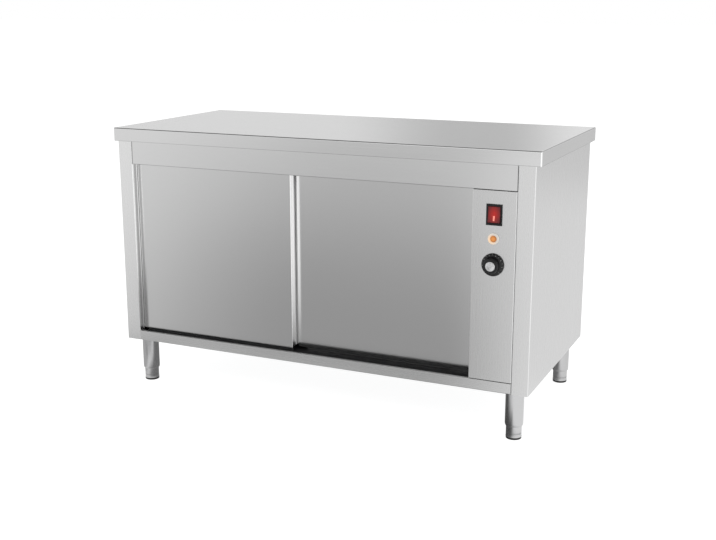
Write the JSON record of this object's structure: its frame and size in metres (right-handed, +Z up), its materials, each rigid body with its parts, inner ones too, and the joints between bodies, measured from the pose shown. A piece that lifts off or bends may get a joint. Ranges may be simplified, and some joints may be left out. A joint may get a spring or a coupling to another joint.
{
  "type": "plate warmer cabinet",
  "caption": "Free-standing heated cupboard for warming plates, with a flat worktop, overlapping sliding doors on rollers, a control panel and round legs with screw-adjusted feet.",
  "frame": {"origin": "on the floor, below the centre of the overall box", "axes": "+X towards the end with the control panel, +Y towards the rear, +Z up; the doors and controls face -Y"},
  "size_m": [1.4, 0.674, 0.85],
  "materials": {
    "stainless_outer": "fine brushed grain, satin",
    "stainless_door": "fine brushed grain, bright",
    "stainless_inner": "plain mill finish",
    "galvanised": "zinc coated sheet, dull",
    "zinc_plated": "zinc plated",
    "mineral_wool": "matted fibre slab",
    "black_nylon": "black, lightly worn",
    "white_nylon": "off-white, smooth",
    "black_rubber": "matt black",
    "knob_plastic": "black, semi-gloss",
    "red_plastic": "translucent red, glossy",
    "amber_lens": "translucent amber, glossy",
    "lamp_ring": "pale, glossy",
    "brushed_cap": "turned, satin",
    "pale_plastic": "plain",
    "copper_tube": "drawn copper",
    "motor_case": "black enamel",
    "element_steel": "oxidised by heat"
  },
  "bodies": {
    "cabinet": {"worktop": "stainless_outer", "worktop_stiffeners": "galvanised", "left_side_panel": "stainless_outer", "right_side_panel": "stainless_outer", "rear_panel": "stainless_outer", "rear_panel_screws": "zinc_plated", "upper_fascia": "stainless_outer", "lower_front_rail": "stainless_outer", "base_pan": "galvanised", "floor_bearers": "galvanised", "chamber_floor": "stainless_inner", "chamber_ceiling": "stainless_inner", "chamber_left_wall": "stainless_inner", "chamber_right_wall": "stainless_inner", "chamber_rear_wall": "stainless_inner", "insulation_slabs": "mineral_wool", "shelf": "stainless_inner", "shelf_brackets": "stainless_inner", "upper_track": "galvanised", "lower_track": "black_nylon", "door_buffers": "black_rubber", "control_panel": "stainless_outer", "switch_housing": "knob_plastic", "pilot_lamp_bezel": "lamp_ring", "pilot_lamp_lens": "amber_lens", "thermostat_body": "pale_plastic", "thermostat_capillary": "copper_tube", "fan_housing": "galvanised", "fan_motor": "motor_case", "heater_element": "element_steel", "terminal_block": "pale_plastic", "cable_gland": "black_nylon", "leg_bushings": "black_nylon", "leg_front_left": "stainless_outer", "leg_front_right": "stainless_outer", "leg_rear_left": "stainless_outer", "leg_rear_right": "stainless_outer"},
    "left_door": {"left_door_outer": "stainless_door", "left_door_inner": "stainless_inner", "left_door_hangers": "zinc_plated"},
    "right_door": {"right_door_outer": "stainless_door", "right_door_inner": "stainless_inner", "right_door_hangers": "zinc_plated"},
    "left_roller_a": {"left_door_roller_a": "white_nylon"},
    "left_roller_b": {"left_door_roller_b": "white_nylon"},
    "right_roller_a": {"right_door_roller_a": "white_nylon"},
    "right_roller_b": {"right_door_roller_b": "white_nylon"},
    "switch_rocker": {"rocker": "red_plastic"},
    "thermostat_knob": {"knob": "knob_plastic", "knob_cap": "brushed_cap", "thermostat_shaft": "zinc_plated"},
    "impeller": {"fan_impeller": "galvanised"},
    "foot_fl": {"foot_front_left": "stainless_outer", "foot_pad_front_left": "black_rubber"},
    "foot_fr": {"foot_front_right": "stainless_outer", "foot_pad_front_right": "black_rubber"},
    "foot_rl": {"foot_rear_left": "stainless_outer", "foot_pad_rear_left": "black_rubber"},
    "foot_rr": {"foot_rear_right": "stainless_outer", "foot_pad_rear_right": "black_rubber"}
  },
  "joints": [
    {"name": "left_door_slide", "type": "slide", "parent": "cabinet", "child": "left_door", "axis": [1, 0, 0], "range_m": [0, 0.5815]},
    {"name": "right_door_slide", "type": "slide", "parent": "cabinet", "child": "right_door", "axis": [1, 0, 0], "range_m": [-0.5815, 0]},
    {"name": "left_roller_a_spin", "type": "hinge", "parent": "left_door", "child": "left_roller_a", "pos_m": [-0.5605, -0.2875, 0.7673], "axis": [0, 1, 0], "range_deg": [0, 2800]},
    {"name": "left_roller_b_spin", "type": "hinge", "parent": "left_door", "child": "left_roller_b", "pos_m": [-0.19865, -0.2875, 0.7673], "axis": [0, 1, 0], "range_deg": [0, 2800]},
    {"name": "right_roller_a_spin", "type": "hinge", "parent": "right_door", "child": "right_roller_a", "pos_m": [0.02135, -0.2575, 0.7673], "axis": [0, 1, 0], "range_deg": [-2800, 0]},
    {"name": "right_roller_b_spin", "type": "hinge", "parent": "right_door", "child": "right_roller_b", "pos_m": [0.3832, -0.2575, 0.7673], "axis": [0, 1, 0], "range_deg": [-2800, 0]},
    {"name": "rocker_tilt", "type": "hinge", "parent": "cabinet", "child": "switch_rocker", "pos_m": [0.5705, -0.308, 0.667], "axis": [1, 0, 0], "range_deg": [0, 12]},
    {"name": "knob_turn", "type": "hinge", "parent": "cabinet", "child": "thermostat_knob", "pos_m": [0.5705, -0.32, 0.525], "axis": [0, 1, 0], "range_deg": [0, 270]},
    {"name": "impeller_spin", "type": "hinge", "parent": "cabinet", "child": "impeller", "pos_m": [0.5347, 0.04, 0.46], "axis": [1, 0, 0], "continuous": true},
    {"name": "foot_fl_adjust", "type": "slide", "parent": "cabinet", "child": "foot_fl", "axis": [0, 0, -1], "range_m": [0, 0.03]},
    {"name": "foot_fr_adjust", "type": "slide", "parent": "cabinet", "child": "foot_fr", "axis": [0, 0, -1], "range_m": [0, 0.03]},
    {"name": "foot_rl_adjust", "type": "slide", "parent": "cabinet", "child": "foot_rl", "axis": [0, 0, -1], "range_m": [0, 0.03]},
    {"name": "foot_rr_adjust", "type": "slide", "parent": "cabinet", "child": "foot_rr", "axis": [0, 0, -1], "range_m": [0, 0.03]}
  ],
  "couplings": [
    {"joint": "left_roller_a_spin", "follows": "left_door_slide", "rad_per_m": 83.333},
    {"joint": "left_roller_b_spin", "follows": "left_door_slide", "rad_per_m": 83.333},
    {"joint": "right_roller_a_spin", "follows": "right_door_slide", "rad_per_m": 83.333},
    {"joint": "right_roller_b_spin", "follows": "right_door_slide", "rad_per_m": 83.333}
  ]
}
